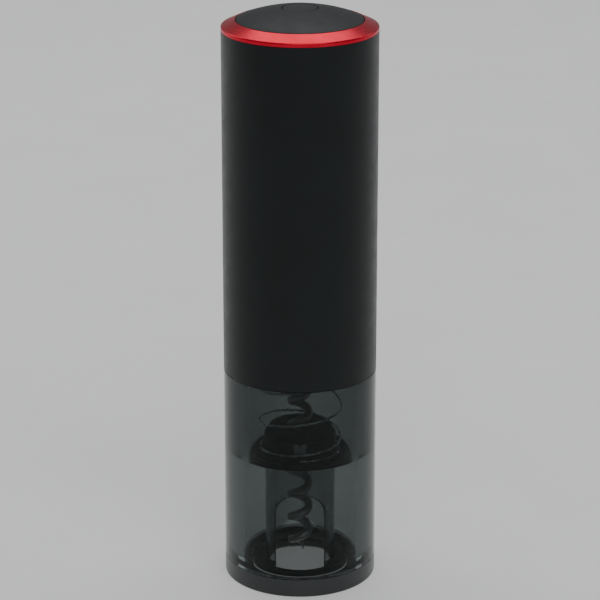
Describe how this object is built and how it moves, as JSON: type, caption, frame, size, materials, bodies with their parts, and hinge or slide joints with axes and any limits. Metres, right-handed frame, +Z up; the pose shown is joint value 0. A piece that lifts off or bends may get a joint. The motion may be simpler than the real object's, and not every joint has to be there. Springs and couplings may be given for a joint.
{
  "type": "electric wine opener",
  "caption": "Upright cordless corkscrew: smoky clear chamber with worm, sprung cork sleeve and guide ring below, black motor housing with red trim ring and domed push button above.",
  "frame": {"origin": "middle of the foot, on the surface the opener stands on", "axes": "+Z up along the body's axis, -Y to the front where the sleeve's tall window is, +Y to the charging socket, +X to the right seen from the front"},
  "size_m": [0.048, 0.048, 0.1841],
  "materials": {
    "base_black": "dark grey ABS, satin",
    "board_green": "circuit board with solder mask",
    "body_black": "satin black soft-touch housing",
    "button_slate": "matt slate grey button",
    "cap_black": "black glass-filled nylon",
    "cell_wrap": "heat-shrunk lithium cell",
    "copper": "copper windings and laminations",
    "dome_slate": "matt slate grey cap",
    "endcap_nylon": "white nylon",
    "frame_grey": "grey ABS",
    "gear_white": "natural acetal",
    "lead_red": "silicone insulated lead",
    "magnet": "ferrite",
    "motor_steel": "zinc-plated drawn steel",
    "nickel": "nickel strip",
    "red_trim": "red anodised metal ring",
    "ring_black": "black acetal",
    "screw_steel": "zinc-plated steel",
    "seal_rubber": "nitrile rubber",
    "sleeve_clear": "clear smoke-tinted plastic, thinner wall",
    "smoky_clear": "clear smoke-tinted polycarbonate, polished",
    "spring_steel": "bright spring wire",
    "steel": "machined steel",
    "switch_black": "switch body",
    "worm_steel": "dark non-stick coated steel"
  },
  "bodies": {
    "root": {"base_ring": "base_black", "clear_chamber": "smoky_clear", "guide_ring": "ring_black", "chamber_seal": "seal_rubber", "upper_housing": "body_black", "mechanism_plate": "ring_black", "plate_screws": "screw_steel", "output_bearing": "steel", "ring_gear": "gear_white", "gearbox_screws": "screw_steel", "motor_mount_plate": "steel", "motor_screws": "screw_steel", "motor_can": "motor_steel", "motor_endcap": "endcap_nylon", "motor_magnets": "magnet", "chassis_front": "frame_grey", "chassis_rear": "frame_grey", "chassis_screws": "screw_steel", "battery_tray": "frame_grey", "battery_cell_left": "cell_wrap", "battery_cell_right": "cell_wrap", "battery_straps": "nickel", "control_board": "board_green", "charging_socket": "steel", "switch_board": "board_green", "tact_switch": "switch_black", "trim_ring": "red_trim", "dome_cap": "dome_slate", "motor_leads": "lead_red", "battery_leads": "lead_red", "switch_leads": "lead_red", "return_spring": "spring_steel"},
    "carriage": {"cork_sleeve": "sleeve_clear", "collet_cap": "cap_black", "bottle_seat": "ring_black"},
    "worm_drive": {"worm_screw": "worm_steel", "worm_chuck": "steel", "retaining_clip": "screw_steel", "output_carrier": "steel"},
    "middle_stage": {"middle_carrier": "steel"},
    "input_stage": {"input_carrier": "gear_white"},
    "rotor": {"motor_shaft": "steel", "motor_armature": "copper", "motor_pinion": "steel"},
    "button": {"power_button": "button_slate", "switch_stem": "switch_black"},
    "output_planet_1": {"output_planet_1": "steel"},
    "output_planet_2": {"output_planet_2": "steel"},
    "output_planet_3": {"output_planet_3": "steel"},
    "middle_planet_1": {"middle_planet_1": "gear_white"},
    "middle_planet_2": {"middle_planet_2": "gear_white"},
    "middle_planet_3": {"middle_planet_3": "gear_white"},
    "input_planet_1": {"input_planet_1": "gear_white"},
    "input_planet_2": {"input_planet_2": "gear_white"},
    "input_planet_3": {"input_planet_3": "gear_white"}
  },
  "joints": [
    {"name": "carriage_slide", "type": "slide", "parent": "root", "child": "carriage", "axis": [0, 0, 1], "range_m": [0, 0.029], "stiffness_N_per_m": 100, "springref_m": -0.03, "deforming": ["return_spring"]},
    {"name": "worm_spin", "type": "hinge", "parent": "root", "child": "worm_drive", "pos_m": [0, 0, 0.085], "axis": [0, 0, 1], "continuous": true},
    {"name": "middle_stage_spin", "type": "hinge", "parent": "root", "child": "middle_stage", "pos_m": [0, 0, 0.097], "axis": [0, 0, 1], "continuous": true},
    {"name": "input_stage_spin", "type": "hinge", "parent": "root", "child": "input_stage", "pos_m": [0, 0, 0.104], "axis": [0, 0, 1], "continuous": true},
    {"name": "rotor_spin", "type": "hinge", "parent": "root", "child": "rotor", "pos_m": [0, 0, 0.124], "axis": [0, 0, 1], "continuous": true},
    {"name": "button_press", "type": "slide", "parent": "root", "child": "button", "axis": [0, 0, -1], "range_m": [0, 0.0006], "stiffness_N_per_m": 1500, "springref_m": -0.0003},
    {"name": "output_planet_1_spin", "type": "hinge", "parent": "worm_drive", "child": "output_planet_1", "pos_m": [0.00675, 0, 0.0936], "axis": [0, 0, 1], "continuous": true},
    {"name": "output_planet_2_spin", "type": "hinge", "parent": "worm_drive", "child": "output_planet_2", "pos_m": [-0.00337, 0.00585, 0.0936], "axis": [0, 0, 1], "continuous": true},
    {"name": "output_planet_3_spin", "type": "hinge", "parent": "worm_drive", "child": "output_planet_3", "pos_m": [-0.00337, -0.00585, 0.0936], "axis": [0, 0, 1], "continuous": true},
    {"name": "middle_planet_1_spin", "type": "hinge", "parent": "middle_stage", "child": "middle_planet_1", "pos_m": [0.00675, 0, 0.1006], "axis": [0, 0, 1], "continuous": true},
    {"name": "middle_planet_2_spin", "type": "hinge", "parent": "middle_stage", "child": "middle_planet_2", "pos_m": [-0.00337, 0.00585, 0.1006], "axis": [0, 0, 1], "continuous": true},
    {"name": "middle_planet_3_spin", "type": "hinge", "parent": "middle_stage", "child": "middle_planet_3", "pos_m": [-0.00337, -0.00585, 0.1006], "axis": [0, 0, 1], "continuous": true},
    {"name": "input_planet_1_spin", "type": "hinge", "parent": "input_stage", "child": "input_planet_1", "pos_m": [0.00675, 0, 0.1076], "axis": [0, 0, 1], "continuous": true},
    {"name": "input_planet_2_spin", "type": "hinge", "parent": "input_stage", "child": "input_planet_2", "pos_m": [-0.00337, 0.00585, 0.1076], "axis": [0, 0, 1], "continuous": true},
    {"name": "input_planet_3_spin", "type": "hinge", "parent": "input_stage", "child": "input_planet_3", "pos_m": [-0.00337, -0.00585, 0.1076], "axis": [0, 0, 1], "continuous": true}
  ],
  "couplings": [
    {"joint": "middle_stage_spin", "follows": "worm_spin", "ratio": 4.5},
    {"joint": "input_stage_spin", "follows": "worm_spin", "ratio": 20.25},
    {"joint": "rotor_spin", "follows": "worm_spin", "ratio": 91.125},
    {"joint": "output_planet_1_spin", "follows": "worm_spin", "ratio": -2.8},
    {"joint": "output_planet_2_spin", "follows": "worm_spin", "ratio": -2.8},
    {"joint": "output_planet_3_spin", "follows": "worm_spin", "ratio": -2.8},
    {"joint": "middle_planet_1_spin", "follows": "worm_spin", "ratio": -12.6},
    {"joint": "middle_planet_2_spin", "follows": "worm_spin", "ratio": -12.6},
    {"joint": "middle_planet_3_spin", "follows": "worm_spin", "ratio": -12.6},
    {"joint": "input_planet_1_spin", "follows": "worm_spin", "ratio": -56.7},
    {"joint": "input_planet_2_spin", "follows": "worm_spin", "ratio": -56.7},
    {"joint": "input_planet_3_spin", "follows": "worm_spin", "ratio": -56.7}
  ]
}
